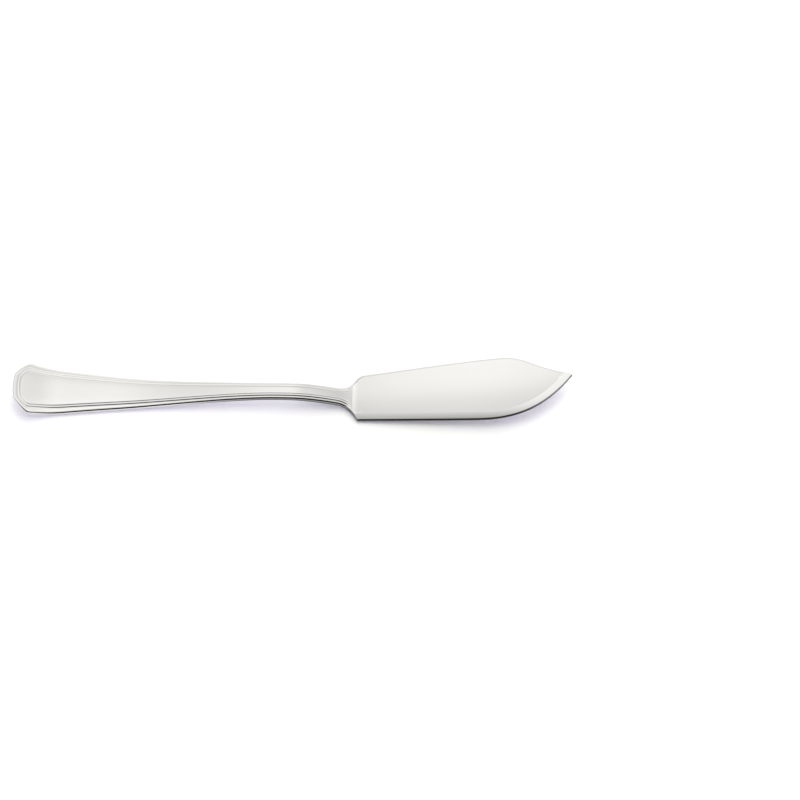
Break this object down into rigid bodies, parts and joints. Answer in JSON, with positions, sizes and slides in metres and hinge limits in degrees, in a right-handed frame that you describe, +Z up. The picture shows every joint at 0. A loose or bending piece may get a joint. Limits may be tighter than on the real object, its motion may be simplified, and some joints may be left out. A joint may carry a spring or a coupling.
{
  "type": "fish knife",
  "caption": "Fish knife in one piece of polished steel, with a threaded border and cut corners on the handle, an arched neck and a blade with a humped back and a curved belly.",
  "frame": {"origin": "centre of the bounding box in plan, on the table that the knife lies on", "axes": "+X along the knife from the handle to the point, +Y from the straight edge to the humped back, +Z up from the table"},
  "size_m": [0.2, 0.0264, 0.0071],
  "materials": {
    "metal": "polished stainless steel or silver plate"
  },
  "bodies": {
    "root": {"fish_knife": "metal"}
  },
  "joints": []
}
